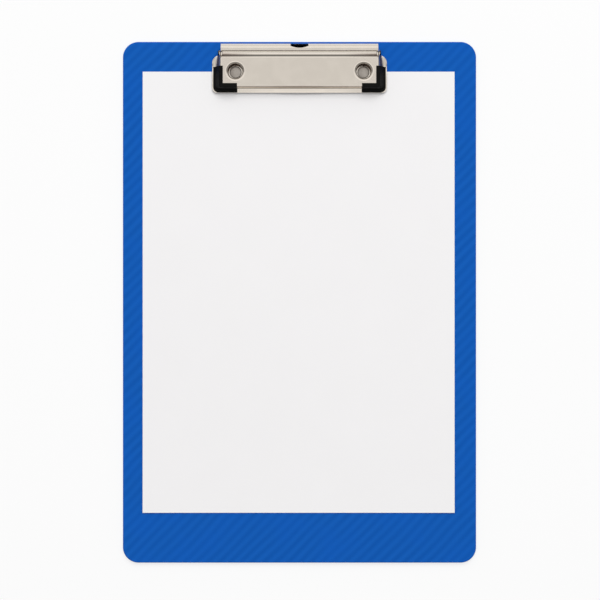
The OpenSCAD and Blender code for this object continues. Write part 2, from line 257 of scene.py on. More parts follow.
class Shader:
    """The nodes of one material or of the world."""

    def __init__(self, owner):
        owner.use_nodes = True
        self.owner = owner
        self.tree = owner.node_tree
        self.tree.nodes.clear()

    def node(self, kind, settings=None, sockets=(), output=0):
        """Adds a node: its settings first, then the values or links of its sockets."""
        made = self.tree.nodes.new(kind)
        for name, setting in (settings or {}).items():
            if name == "stops":
                self.set_stops(made.color_ramp, setting)
            else:
                setattr(made, name, setting)
        pairs = sockets.items() if isinstance(sockets, dict) else enumerate(sockets)
        for name, value in pairs:
            if isinstance(value, Value):
                self.tree.links.new(value.socket, made.inputs[name])
            else:
                made.inputs[name].default_value = value
        return Value(self, made.outputs[output] if made.outputs else None)

    def set_stops(self, ramp, stops):
        """Sets a ramp's stops, each a place and a colour."""
        while len(ramp.elements) < len(stops):
            ramp.elements.new(1)
        for element, (place, colour) in zip(ramp.elements, stops):
            element.position = place
            element.color = colour

    def mix(self, share, first, second):
        """Mixes two colours."""
        colours = [c if isinstance(c, Value) else (*c, 1) for c in (first, second)]
        return self.node("ShaderNodeMix", {"data_type": "RGBA"}, {0: share, 6: colours[0], 7: colours[1]}, 2)

    def place(self, scale=(1, 1, 1)):
        """Object coordinates, stretched by a scale on each axis."""
        place = self.node("ShaderNodeTexCoord", output="Object")
        return self.node("ShaderNodeMapping", {}, {"Vector": place, "Scale": scale})

    def grain(self, grains_per_metre, detail=2, scale=(1, 1, 1)):
        """Noise from 0 to 1 with so many grains to the metre."""
        sockets = {"Vector": self.place(scale), "Scale": grains_per_metre, "Detail": detail}
        return self.node("ShaderNodeTexNoise", {}, sockets)

    def surface(self, bumps=(), **sockets):
        """The Principled surface, with bumps given as pairs of height and depth in metres."""
        normal = None
        for height, depth in bumps:
            pushed = {"Height": height, "Distance": depth}
            if normal:
                pushed["Normal"] = normal
            normal = self.node("ShaderNodeBump", {}, pushed)
        named = {name.replace("_", " "): value for name, value in sockets.items()}
        if normal:
            named["Normal"] = normal
        shader = self.node("ShaderNodeBsdfPrincipled", {}, named)
        self.node("ShaderNodeOutputMaterial", {}, {"Surface": shader})
        return self.owner


def make_world():
    """A pale studio: bright overhead, behind the clip and along the horizon, and dark between.

    A duller card hangs where the clip's flat panel mirrors it. The camera sees plain white."""
    world = bpy.data.worlds.new("studio")
    bpy.context.scene.world = world
    sky = Shader(world)
    direction = sky.node("ShaderNodeTexCoord", output="Generated")
    aside = sky.node("ShaderNodeSeparateXYZ", {}, {"Vector": direction}, "X").math("ABSOLUTE")
    back = sky.node("ShaderNodeSeparateXYZ", {}, {"Vector": direction}, "Y")
    up = sky.node("ShaderNodeSeparateXYZ", {}, {"Vector": direction}, "Z")
    behind = back.eased(0.05, 0.55)
    low = SKY_DARK + SKY_BEHIND * behind
    strength = low + (SKY_BRIGHT - low) * (up + 0.25 * back - 0.25 * aside).eased(0.42, 0.87)
    strength = strength + SKY_HORIZON * (1 - up.eased(0.08, 0.36)) * (1 - behind)
    near_card = sky.node("ShaderNodeVectorMath", {"operation": "DOT_PRODUCT"}, (direction, CARD), "Value")
    strength = strength - CARD_DULLS * near_card.eased(0.978, 0.994)
    strength = strength + sky.node("ShaderNodeLightPath", output="Is Camera Ray") * (1 - strength)
    light = sky.node("ShaderNodeBackground", {}, {"Color": (1, 1, 1, 1), "Strength": strength})
    sky.node("ShaderNodeOutputWorld", {}, {"Surface": light})


def make_lamp(name, place, size, watts):
    """A square lamp that faces the clipboard, and leaves no mirror image in the steel."""
    data = bpy.data.lights.new(name, "AREA")
    data.size = size
    data.energy = watts
    lamp = bpy.data.objects.new(name, data)
    lamp.location = place
    lamp.rotation_euler = (-Vector(place)).to_track_quat("-Z", "Y").to_euler()
    lamp.visible_glossy = False
    bpy.context.scene.collection.objects.link(lamp)


def make_floor():
    """A pale floor that looks white to the camera and in reflections, and keeps the shadow."""
    bm = bmesh.new()
    bmesh.ops.create_grid(bm, x_segments=1, y_segments=1, size=3)
    mesh = bpy.data.meshes.new("floor")
    bm.to_mesh(mesh)
    bm.free()
    floor = bpy.data.objects.new("floor", mesh)
    bpy.context.scene.collection.objects.link(floor)
    shader = Shader(bpy.data.materials.new("white_floor"))
    rays = ("Is Camera Ray", "Is Glossy Ray", "Is Transmission Ray")
    camera, glossy, through = [shader.node("ShaderNodeLightPath", output=ray) for ray in rays]
    seen = 1 - (1 - camera) * (1 - glossy) * (1 - through)
    paint = shader.node("ShaderNodeBsdfDiffuse", {}, {"Color": (0.9, 0.9, 0.9, 1)})
    glow = shader.node("ShaderNodeEmission", {}, {"Color": (1, 1, 1, 1), "Strength": 1})
    both = shader.node("ShaderNodeMixShader", {}, (seen * FLOOR_GLOW, paint, glow))
    shader.node("ShaderNodeOutputMaterial", {}, {"Surface": both})
    mesh.materials.append(shader.owner)


# ================================================================ finishes
def new_finish(name):
    return Shader(bpy.data.materials.new(name))


def board_plastic():
    """Blue polypropylene with soft ribs, with a painted highlight on the crests and painted shade in the
    grooves.
    """
    shader = new_finish("board_plastic")
    rib = shader.node("ShaderNodeAttribute", {"attribute_name": "rib"}, output="Fac")
    cloud = shader.grain(45, 3)
    # Painted highlight and shade: the colour follows the rib height, darker in the grooves and lighter on
    # the crests.
    colour = shader.mix(rib, (0.0030, 0.086, 0.400), (0.0060, 0.108, 0.468))
    colour = shader.mix(cloud.eased(0.35, 0.75) * 0.35, colour, (0.0040, 0.100, 0.500))
    roughness = 0.50 + 0.14 * shader.grain(1500)
    return shader.surface(
        bumps=[(shader.grain(3200, 3), 0.00002)],
        Base_Color=colour,
        Roughness=roughness,
        Specular_IOR_Level=0.06,
    )


def paper():
    """White office paper with faint fibres and a little cloudiness."""
    shader = new_finish("paper")
    cloud = shader.grain(30, 4)
    fibres = shader.grain(2600, 3, scale=(1, 0.35, 1))
    colour = shader.mix(cloud, (0.865, 0.855, 0.858), (0.885, 0.875, 0.880))
    colour = shader.mix(fibres.eased(0.55, 0.8) * 0.25, colour, (0.84, 0.83, 0.825))
    return shader.surface(
        bumps=[(fibres, 0.000015)],
        Base_Color=colour,
        Roughness=0.85 + 0.1 * cloud,
        Specular_IOR_Level=0.2,
    )


def plated_steel(name, light, dark, roughness, streaks=2400):
    """Nickel plate over rolled steel: fine rolling lines along the clip, faint smears, and a painted shade
    where a piece's attribute asks for it.
    """
    shader = new_finish(name)
    lines = shader.grain(streaks, 2, scale=(0.012, 1, 1))
    smears = shader.grain(140, 4)
    colour = shader.mix(smears.eased(0.35, 0.7), dark, light)
    # Painted shade: a dark brown, rougher patch over the nickel where the jaw's point attribute says, for
    # the shade in its creases and along its bends.
    painted_shade_mask = shader.node("ShaderNodeAttribute", {"attribute_name": "tarnish"}, output="Fac")
    colour = shader.mix(painted_shade_mask * (0.7 + 0.3 * shader.grain(900)), colour, (0.16, 0.085, 0.06))
    return shader.surface(
        bumps=[(lines, 0.0000012)],
        Base_Color=colour,
        Roughness=roughness + 0.05 * lines + 0.05 * smears.eased(0.45, 0.75) + 0.2 * painted_shade_mask,
        Metallic=1.0,
    )


def rubber():
    """Black moulded rubber with a fine grain and dusty rubbed patches."""
    shader = new_finish("grip_rubber")
    rubbed = shader.grain(420, 4).eased(0.5, 0.75)
    colour = shader.mix(rubbed * 0.5, (0.004, 0.0039, 0.0036), (0.010, 0.0095, 0.009))
    return shader.surface(
        bumps=[(shader.grain(5200, 2), 0.00002)],
        Base_Color=colour,
        Roughness=0.48 + 0.16 * rubbed,
        Specular_IOR_Level=0.07,
    )


def dark_steel(name, colour, roughness):
    """Oiled dark steel with a mottled oxide; also the near-black painted shade inside the back plate."""
    shader = new_finish(name)
    mottle = shader.grain(900, 4)
    lighter = tuple(1.9 * c for c in colour)
    return shader.surface(
        bumps=[(mottle, 0.000008)],
        Base_Color=shader.mix(mottle.eased(0.4, 0.75), colour, lighter),
        Roughness=roughness + 0.15 * mottle,
        Metallic=1.0,
    )


make_camera()
make_world()
make_lamp("lamp_behind", (0.27, 1.70, 2.10), 1.45, 32)
make_floor()

BOARD_PLASTIC = board_plastic()
PAPER = paper()
NICKEL = plated_steel("nickel_steel", (0.76, 0.695, 0.615), (0.745, 0.68, 0.60), 0.12)
# Painted shade: the rivets' nickel is painted about half as bright, for the shade and dark reflections down
# in the jaw's holes.
RIVET_NICKEL_SHADED = plated_steel("rivet_nickel", (0.40, 0.365, 0.325), (0.29, 0.26, 0.23), 0.26)
# Painted shade: the jaw's inner face and the cut of its notch are painted about half as bright as the
# nickel, and are rougher.
SHADED_DULL_NICKEL = plated_steel("jaw_inside_shaded", (0.40, 0.37, 0.33), (0.32, 0.29, 0.26), 0.30)
BLACK_STEEL = dark_steel("black_steel", (0.025, 0.025, 0.027), 0.38)
# Painted shade: near-black steel on the back plate's inner face and the cut of its notch, where the inside
# of the clip lies in shade.
CLIP_INSIDE_SHADE = dark_steel("clip_inside_shade", (0.010, 0.009, 0.008), 0.60)
RUBBER = rubber()


# ================================================================ making pieces
def chain(bm, points):
    """An open chain of edges through points, and its vertices."""
    verts = [bm.verts.new(p) for p in points]
    for pair in zip(verts, verts[1:]):
        bm.edges.new(pair)
    return verts


def round_off(bm, vert, cut, segments):
    """Rounds the corner of a chain at a vertex, starting so far from it."""
    bmesh.ops.bevel(
        bm, geom=[vert], offset=cut, offset_type="OFFSET", affect="VERTICES",
        segments=segments, profile=0.5, material=-1,
    )


def parts_of(made, kind):
    """The vertices, edges or faces in what an operator gives back."""
    return [part for part in made if isinstance(part, kind)]


def draw_out(bm, edges, step):
    """Draws edges out along a step, and gives the edges at its far end."""
    made = bmesh.ops.extrude_edge_only(bm, edges=edges)["geom"]
    bmesh.ops.translate(bm, vec=step, verts=parts_of(made, bmesh.types.BMVert))
    return parts_of(made, bmesh.types.BMEdge)


def draw_through(bm, edges, axis, places):
    """Draws edges out to each place along an axis in turn."""
    for start, end in zip(places, places[1:]):
        edges = draw_out(bm, edges, Vector(axis) * (end - start))
    return edges


def spin_edges(bm, edges, centre, axis, angle, steps):
    """Spins edges about an axis, and gives the edges at the far end."""
    verts = list({vert for edge in edges for vert in edge.verts})
    made = bmesh.ops.spin(
        bm, geom=verts + edges, cent=centre, axis=axis, angle=angle, steps=steps, use_duplicate=False,
    )
    return parts_of(made["geom_last"], bmesh.types.BMEdge)


def arc(centre, radius, start, end, steps):
    """Points of an arc in a plane, by angles in degrees."""
    turns = [math.radians(start + (end - start) * i / steps) for i in range(steps + 1)]
    return [(centre[0] + radius * math.cos(a), centre[1] + radius * math.sin(a)) for a in turns]


def turned(outline, centre, axis="Z", steps=48):
    """A solid turned on a lathe, from an outline of radius and height that starts and ends on the axis."""
    bm = bmesh.new()
    upright = axis == "Z"
    chain(bm, [(r, 0, h) if upright else (h, r, 0) for r, h in outline])
    bmesh.ops.spin(
        bm, geom=bm.verts[:] + bm.edges[:], cent=(0, 0, 0), axis=(0, 0, 1) if upright else (1, 0, 0),
        angle=2 * math.pi, steps=steps, use_merge=True, use_duplicate=False,
    )
    bmesh.ops.remove_doubles(bm, verts=bm.verts, dist=0.001)
    bmesh.ops.translate(bm, vec=centre, verts=bm.verts)
    bmesh.ops.recalc_face_normals(bm, faces=bm.faces)
    return bm


def block(low, high):
    """A box between two corners, to cut with."""
    bm = bmesh.new()
    low, high = Vector(low), Vector(high)
    bmesh.ops.create_cube(bm, size=1)
    bmesh.ops.scale(bm, vec=high - low, verts=bm.verts)
    bmesh.ops.translate(bm, vec=(low + high) / 2, verts=bm.verts)
    return bm


def on_bench(bm, name="bench"):
    """A passing object that holds a mesh while modifiers work on it."""
    mesh = bpy.data.meshes.new(name)
    bm.to_mesh(mesh)
    bm.free()
    for finish in (None, None):
        mesh.materials.append(finish)
    obj = bpy.data.objects.new(name, mesh)
    bpy.context.scene.collection.objects.link(obj)
    return obj


def worked(bm, *steps):
    """The mesh after Blender's modifiers, each given as its kind and its settings."""
    obj = on_bench(bm)
    for kind, settings in steps:
        modifier = obj.modifiers.new(kind.lower(), kind)
        for name, setting in settings.items():
            setattr(modifier, name, setting)
    depsgraph = bpy.context.evaluated_depsgraph_get()
    shaped = bpy.data.meshes.new_from_object(obj.evaluated_get(depsgraph))
    result = bmesh.new()
    result.from_mesh(shaped)
    bpy.data.meshes.remove(shaped)
    bpy.data.meshes.remove(obj.data)
    return result


def combined(bm, tool, operation):
    """The mesh with a tool cut from it, joined to it, or kept only where both are."""
    tool_object = on_bench(tool, "tool")
    result = worked(bm, ("BOOLEAN", {"operation": operation, "object": tool_object, "solver": "EXACT"}))
    bpy.data.meshes.remove(tool_object.data)
    return result


def sheet_steel(bm, up_at):
    """Gives a skin its thickness of steel, on the side away from its outer face.

    The skin's outer face points up at the face nearest up_at. The steel's inner face gets the
    second finish."""
    bmesh.ops.recalc_face_normals(bm, faces=bm.faces)
    nearest = min(bm.faces, key=lambda face: (face.calc_center_median() - Vector(up_at)).length)
    if nearest.normal.z < 0:
        bmesh.ops.reverse_faces(bm, faces=bm.faces)
    settings = {
        "thickness": STEEL_T,
        "offset": -1,
        "use_even_offset": True,
        "use_quality_normals": True,
        "material_offset": 1,
    }
    return worked(bm, ("SOLIDIFY", settings))


def soft_edges(bm, width, segments=2, angle=40):
    """Takes the sharpness off every edge that turns by more than an angle."""
    settings = {
        "width": width,
        "segments": segments,
        "limit_method": "ANGLE",
        "angle_limit": math.radians(angle),
        "use_clamp_overlap": True,
    }
    return worked(bm, ("BEVEL", settings))


def finished(bm, name, body, finishes, stands_for, sharp=35):
    """Makes the piece: metres for millimetres, smooth but for its sharp edges, riding on its body."""
    bmesh.ops.scale(bm, vec=(MM, MM, MM), verts=bm.verts)
    mesh = bpy.data.meshes.new(name)
    bm.to_mesh(mesh)
    bm.free()
    mesh.shade_smooth()
    mesh.set_sharp_from_angle(angle=math.radians(sharp))
    for finish in finishes:
        mesh.materials.append(finish)
    obj = bpy.data.objects.new(name, mesh)
    bpy.context.scene.collection.objects.link(obj)
    weighted = obj.modifiers.new("even_shading", "WEIGHTED_NORMAL")
    weighted.keep_sharp = True
    if body:
        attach(obj, body)
    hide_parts(stands_for)
    return obj


def mirrored(bm):
    """The other hand of a mesh, with its faces still outwards."""
    bmesh.ops.scale(bm, vec=(-1, 1, 1), verts=bm.verts)
    bmesh.ops.reverse_faces(bm, faces=bm.faces)
    return bm


def add_mirror_half(bm):
    """Adds the half on the other side of the middle, and closes the seam."""
    bmesh.ops.mirror(bm, geom=bm.verts[:] + bm.edges[:] + bm.faces[:], axis="X", merge_dist=0.001)
    bmesh.ops.remove_doubles(bm, verts=bm.verts, dist=0.001)


# ================================================================ the board
def rib(x, y):
    """How high the ribs stand at a place: 0 in a groove, 1 on a crest."""
    across = (x - y) / math.sqrt(2)
    along = (x + y) / math.sqrt(2)
    wander = RIB_WANDER * noise.noise(Vector((across / 26, along / 34, 0.3)))
    strength = 0.72 + 0.28 * noise.noise(Vector((across / 15, along / 22, 7.1)))
    return 0.5 + 0.5 * strength * math.cos(2 * math.pi * (across + wander) / RIB_PITCH)


def board_core(x, y):
    """The nearest point to a place on the rectangle that the board's corners turn about."""
    half_x = BOARD_HIGH.x - BOARD_CORNER_R
    half_y = BOARD_HIGH.y - BOARD_CORNER_R
    return Vector((max(-half_x, min(half_x, x)), max(-half_y, min(half_y, y)), 0))


def trim(bm, point, direction):
    """Cuts off all that lies past a plane."""
    geometry = bm.verts[:] + bm.edges[:] + bm.faces[:]
    bmesh.ops.bisect_plane(
        bm, geom=geometry, dist=1e-5, plane_co=point, plane_no=direction, clear_outer=True,
    )


def make_board():
    """The ribbed board, with rounded edges, recesses and bores for the rivets."""
    bm = bmesh.new()
    reach = (BOARD_HIGH.x + BOARD_HIGH.y) / math.sqrt(2) + RIB_PITCH
    across = round(2 * reach / RIB_PITCH * RIB_STEPS)
    along = round(2 * reach / RIB_CELL_L)
    bmesh.ops.create_grid(bm, x_segments=across, y_segments=along, size=reach)
    bmesh.ops.rotate(bm, verts=bm.verts, cent=(0, 0, 0), matrix=Matrix.Rotation(-math.pi / 4, 3, "Z"))
    corner_steps = 12
    for side in range(4 * corner_steps):
        angle = 2 * math.pi * side / (4 * corner_steps)
        direction = Vector((math.cos(angle), math.sin(angle), 0))
        core = board_core(1e6 * direction.x, 1e6 * direction.y)
        trim(bm, core + direction * (BOARD_CORNER_R - BOARD_EDGE_R), direction)
    for vert in bm.verts:
        vert.co.z = FACE_Z - RIB_DEPTH * (1 - rib(vert.co.x, vert.co.y))
    rim = [edge for edge in bm.edges if edge.is_boundary]
    turns = [math.radians(a) for a in (0, 22.5, 45, 67.5, 90)]
    for before, after in zip(turns, turns[1:]):
        rim = draw_out(bm, rim, (0, 0, BOARD_EDGE_R * (math.cos(after) - math.cos(before))))
        for vert in {vert for edge in rim for vert in edge.verts}:
            away = Vector((vert.co.x, vert.co.y, 0)) - board_core(vert.co.x, vert.co.y)
            vert.co += away.normalized() * BOARD_EDGE_R * (math.sin(after) - math.sin(before))
    rim = draw_out(bm, rim, (0, 0, 0))
    middle = (BOARD_LOW.z + BOARD_HIGH.z) / 2
    for vert in {vert for edge in rim for vert in edge.verts}:
        vert.co.z = middle
    bmesh.ops.translate(bm, vec=(0, 0, -middle), verts=bm.verts)
    bmesh.ops.mirror(bm, geom=bm.verts[:] + bm.edges[:] + bm.faces[:], axis="Z", merge_dist=0.001)
    bmesh.ops.translate(bm, vec=(0, 0, middle), verts=bm.verts)
    bmesh.ops.remove_doubles(bm, verts=bm.verts, dist=0.0005)
    bmesh.ops.recalc_face_normals(bm, faces=bm.faces)
    recess = [(0, -1), (RECESS_R, -1), (RECESS_R, RECESS_H)]
    bore = [(SHANK_BORE_R, RECESS_H), (SHANK_BORE_R, 5), (0, 5)]
    for side in (-1, 1):
        bm = combined(bm, turned(recess + bore, (side * RIVET_X, RIVET_Y, 0)), "DIFFERENCE")
    board = finished(bm, "ribbed_board", "back", [BOARD_PLASTIC], "board")
    # The rib heights also steer the board's painted highlight and painted shade
    heights = [rib(vert.co.x / MM, vert.co.y / MM) for vert in board.data.vertices]
    board.data.attributes.new("rib", "FLOAT", "POINT").data.foreach_set("value", heights)


# ================================================================ the sheet
def make_sheet():
    """One blank sheet, flat under the clip and a little lifted at its free corners."""
    width = SHEET_HIGH.x - SHEET_LOW.x
    length = SHEET_HIGH.y - SHEET_LOW.y
    thickness = SHEET_HIGH.z - SHEET_LOW.z
    middle = (SHEET_LOW + SHEET_HIGH) / 2
    bm = bmesh.new()
    bmesh.ops.create_grid(bm, x_segments=42, y_segments=60, size=0.5)
    bmesh.ops.scale(bm, vec=(width, length, 1), verts=bm.verts)
    bmesh.ops.translate(bm, vec=(middle.x, middle.y, SHEET_HIGH.z), verts=bm.verts)
    bm = worked(bm, ("SOLIDIFY", {"thickness": thickness, "offset": -1}))
    slot_r = TAB_W / 2 + 0.4
    for side in (-1, 1):
        place = (side * RIVET_X, RIVET_Y, FACE_Z - 2)
        round_end = turned([(0, 0), (slot_r, 0), (slot_r, 4), (0, 4)], place)
        bm = combined(bm, round_end, "DIFFERENCE")
        low = (side * RIVET_X - slot_r, RIVET_Y, FACE_Z - 2)
        high = (side * RIVET_X + slot_r, RIVET_Y + 10, FACE_Z + 2)
        bm = combined(bm, block(low, high), "DIFFERENCE")
    for vert in bm.verts:
        down = (SHEET_HIGH.y - vert.co.y) / length
        aside = abs(vert.co.x - middle.x) / (width / 2)
        free = max(0.0, (down - 0.25) / 0.75)
        vert.co.z += CORNER_LIFT * free ** 2 * aside ** 4 + END_LIFT * free ** 6
    sheet = finished(bm, "blank_sheet", "sheet", [PAPER], "paper_sheet")
    cut_out = math.pi * slot_r ** 2 / 2 + 2 * slot_r * (SHEET_HIGH.y - RIVET_Y)
    area = (width * length - 2 * cut_out) * MM * MM


# ================================================================ the back plate
def make_base_plate():
    """The riveted back plate: floor with two tabs, back wall, round cover with its notch, and ears."""
    bm = bmesh.new()
    floor = [(FLOOR_FRONT_Y, FACE_Z), (CLIP_Y, FACE_Z)]
    cover = [(CLIP_Y, COVER_TOP_Z), (COVER_FRONT_Y, COVER_TOP_Z)]
    verts = chain(bm, [(0, y, z) for y, z in floor + cover])
    round_off(bm, verts[1], FLOOR_BEND_R, 5)
    round_off(bm, verts[2], COVER_R, 12)
    tab_sides = (RIVET_X - TAB_W / 2, RIVET_X + TAB_W / 2)
    draw_through(bm, bm.edges[:], (1, 0, 0), (0, *COVER_ROWS_X, *tab_sides, BASE_HALF))
    tab_edge = [
        edge for edge in bm.edges
        if all(abs(v.co.y - FLOOR_FRONT_Y) < 0.01 and tab_sides[0] - 0.01 < v.co.x < tab_sides[1] + 0.01
               for v in edge.verts)
    ]
    tab_edge = draw_out(bm, tab_edge, (0, RIVET_Y - FLOOR_FRONT_Y, 0))
    tab_end = draw_out(bm, tab_edge, (0, -TAB_W / 2, 0))
    ends = list({vert for edge in tab_end for vert in edge.verts})
    bmesh.ops.bevel(
        bm, geom=ends, offset=TAB_W / 2 - 0.01, offset_type="OFFSET", affect="VERTICES",
        segments=12, profile=0.5, material=-1,
    )
    add_mirror_half(bm)
    bm = sheet_steel(bm, (0, COVER_FRONT_Y + 0.5, COVER_TOP_Z))
    # The tabs seen through the jaw's holes take the bright nickel. The floor under the cover keeps the
    # near-black painted shade of the plate's inner face.
    for face in bm.faces:
        middle = face.calc_center_median()
        if middle.z < FACE_Z + STEEL_T + 0.4 and middle.y < FLOOR_FRONT_Y + 0.5:
            face.material_index = 0
    for side in (-1, 1):
        inner = side * (BASE_HALF - STEEL_T)
        outer = side * (BASE_HALF - 0.01)
        low = (min(inner, outer), HINGE_Y - BASE_EAR_R, FACE_Z + 0.2)
        high = (max(inner, outer), CLIP_Y - 0.2, HINGE_Z)
        bm = combined(bm, block(low, high), "UNION")
        disc = [(0, 0), (BASE_EAR_R, 0), (BASE_EAR_R, high[0] - low[0]), (0, high[0] - low[0])]
        bm = combined(bm, turned(disc, (low[0], HINGE_Y, HINGE_Z), "X"), "UNION")
    bm = combined(bm, pin_bore(), "DIFFERENCE")
    bm = combined(bm, notch_tool(0), "DIFFERENCE")
    for side in (-1, 1):
        shank = [(0, 0), (SHANK_BORE_R, 0), (SHANK_BORE_R, 4), (0, 4)]
        bm = combined(bm, turned(shank, (side * RIVET_X, RIVET_Y, FACE_Z - 1)), "DIFFERENCE")
    bm = soft_edges(bm, 0.25)
    finished(bm, "back_plate", "back", [NICKEL, CLIP_INSIDE_SHADE], "base_plate")


def pin_bore():
    """A rod for cutting the pin's bores."""
    length = 2 * PIN_HIGH.x + 10
    outline = [(0, 0), (PIN_BORE_R, 0), (PIN_BORE_R, length), (0, length)]
    return turned(outline, (-length / 2, HINGE_Y, HINGE_Z), "X", 32)


def notch_tool(gap):
    """The upright cutter for the notch in the cover, grown by a gap. Its cut takes the second finish: the
    near-black painted shade in the back plate, the darker painted shade in the jaw.
    """
    depth_y = CLIP_Y - NOTCH_DEPTH
    height = 20
    round_front = turned(
        [(0, 0), (NOTCH_R + gap, 0), (NOTCH_R + gap, height), (0, height)],
        (0, depth_y + NOTCH_R, NOTCH_FOOT_Z), "Z", 160,
    )
    low = (-NOTCH_HALF - gap, depth_y - gap - 1, NOTCH_FOOT_Z - 1)
    high = (NOTCH_HALF + gap, CLIP_Y + 1, NOTCH_FOOT_Z + height - 1)
    cutter = combined(round_front, block(low, high), "INTERSECT")
    for face in cutter.faces:
        face.material_index = 1
    return cutter


# ================================================================ the jaw
def between(value, places, results):
    """Straight-line reading of a table of places and results, level past its ends."""
    if value <= places[0]:
        return results[0] + value - places[0]
    for low, high, start, end in zip(places, places[1:], results, results[1:]):
        if value <= high:
            return start + (end - start) * (value - low) / (high - low)
    return results[-1] + value - places[-1]


def side_reach(y):
    """How far the panel's edge, the wall's foot and the brim stand out at a place along the side."""
    swept = min(1, max(0, (y - SWEEP_FROM_Y) / (SWEEP_TO_Y - SWEEP_FROM_Y)))
    foot = EAR_OUT + (SIDE_FOOT_OUT - EAR_OUT) * math.sqrt(1 - swept)
    edge = EAR_OUT * min(1, max(0, (y - STEP_Y) / (HINGE_Y - STEP_Y)))
    round_from = BRIM_BACK_Y - BRIM_BACK_R
    along = min(BRIM_BACK_R, max(0, y - round_from))
    brim = SIDE_BRIM_OUT - BRIM_BACK_R + math.sqrt(BRIM_BACK_R ** 2 - along ** 2)
    return edge, foot, max(brim, foot + 0.3)


def settle(bm, core, drawn, beside, ahead, radii):
    """Moves a wall that was drawn at even distances round a corner to where it really lies.

    Each of the distances drawn, measured from the core of the corner, has its real distance beside
    the core, which may change with Y, its distance ahead of it, and its radius round the corner."""
    for vert in bm.verts:
        step = Vector((max(0, vert.co.x - core.x), min(0, vert.co.y - core.y)))
        if step.length < 1e-6:
            continue
        side_out = between(step.length, drawn, beside(vert.co.y))
        front_out = between(step.length, drawn, ahead)
        if vert.co.y > core.y + 1e-4:
            vert.co.x = core.x + side_out
        elif vert.co.x < core.x - 1e-4:
            vert.co.y = core.y - front_out
        else:
            radius = between(step.length, drawn, radii)
            turn = step.normalized() * radius
            vert.co.xy = (core.x + side_out - radius + turn.x, core.y - front_out + radius + turn.y)


def settle_jaw(bm):
    """Leans the jaw's walls: most at the sides, little in front, and swept in behind."""
    core = Vector((PANEL_HALF - PANEL_CORNER_R, PANEL_FRONT_Y + PANEL_CORNER_R))

    def from_core(reaches):
        return [PANEL_CORNER_R + reach for reach in reaches]

    settle(
        bm, core,
        drawn=from_core((0, SIDE_FOOT_OUT, SIDE_BRIM_OUT)),
        beside=lambda y: from_core(side_reach(y)),
        ahead=from_core((0, FRONT_FOOT_OUT, FRONT_BRIM_OUT)),
        radii=(PANEL_CORNER_R, FOOT_CORNER_R, BRIM_CORNER_R),
    )


def lift_brim(bm):
    """Raises the middle of the front wall's foot and brim into the finger lift."""
    for vert in bm.verts:
        x = vert.co.x
        if abs(x) < LIFT_HALF and vert.co.y < PANEL_FRONT_Y + 0.5:
            share = min(1, (PANEL_Z - vert.co.z) / (PANEL_Z - BRIM_TOP_Z))
            arch = 1 - (x / LIFT_HALF) ** 2
            vert.co.z += LIFT_H * arch * share
            vert.co.y -= LIFT_OUT * arch * share


def droop_brim(bm):
    """Curls the brim's outer edge down: a little between the grips, and more behind them."""
    for vert in bm.verts:
        if vert.co.z > BRIM_TOP_Z + 0.01:
            continue
        foot_x = PANEL_HALF + side_reach(vert.co.y)[1]
        aside = (vert.co.x - foot_x) / (SIDE_BRIM_OUT - SIDE_FOOT_OUT)
        ahead = (PANEL_FRONT_Y - FRONT_FOOT_OUT - vert.co.y) / (FRONT_BRIM_OUT - FRONT_FOOT_OUT)
        along = min(1, max(0, (vert.co.y - DROOP_FROM_Y) / (SWEEP_FROM_Y - DROOP_FROM_Y)))
        if aside > 0:
            vert.co.z -= BRIM_DROOP * along * min(1, aside) ** 1.5
        elif ahead > 0 and vert.co.x < GRIP_INNER_X:
            vert.co.z -= FRONT_DROOP * min(1, ahead) ** 1.5


def jaw_profile(bm, y):
    """The jaw's section from the panel's edge down the side wall and out along the brim."""
    points = [(-PANEL_LAP, PANEL_Z), (0, PANEL_Z), (SIDE_FOOT_OUT, BRIM_TOP_Z), (SIDE_BRIM_OUT, BRIM_TOP_Z)]
    verts = chain(bm, [(PANEL_HALF + out, y, z) for out, z in points])
    turn = math.atan2(PANEL_Z - BRIM_TOP_Z, SIDE_FOOT_OUT)
    round_off(bm, verts[1], PANEL_BEND_R * math.tan(turn / 2), 7)
    round_off(bm, verts[2], FOOT_BEND_R * math.tan(turn / 2), 6)
    wall = max(bm.edges, key=lambda edge: abs(edge.verts[0].co.z - edge.verts[1].co.z))
    bmesh.ops.subdivide_edges(bm, edges=[wall], cuts=5)
    brim = max(bm.edges, key=lambda edge: edge.verts[0].co.x + edge.verts[1].co.x)
    bmesh.ops.subdivide_edges(bm, edges=[brim], cuts=3)
    return bm.edges[:]


def draw_ear(bm, edges, y):
    """Carries the side wall on behind the brim, into the ear round the pin."""
    wall_low = BRIM_TOP_Z + 0.45
    wall_high = PANEL_Z - 0.5
    edges = [e for e in edges if all(wall_low < v.co.z < wall_high for v in e.verts)]
    ends = [v.co.z for e in edges for v in e.verts]
    middle = (max(ends) + min(ends)) / 2
    half = (max(ends) - min(ends)) / 2
    rounding = [HINGE_Y + EAR_R * math.sin(math.radians(a)) for a in (0, 20, 40, 55, 68, 80)]
    for place in rounding:
        edges = draw_out(bm, edges, (0, place - y, 0))
        y = place
        tall = EAR_R * math.sqrt(1 - ((y - HINGE_Y) / EAR_R) ** 2)
        for vert in {v for e in edges for v in e.verts}:
            vert.co.z = HINGE_Z + (vert.co.z - middle) / half * tall
        middle, half = HINGE_Z, tall


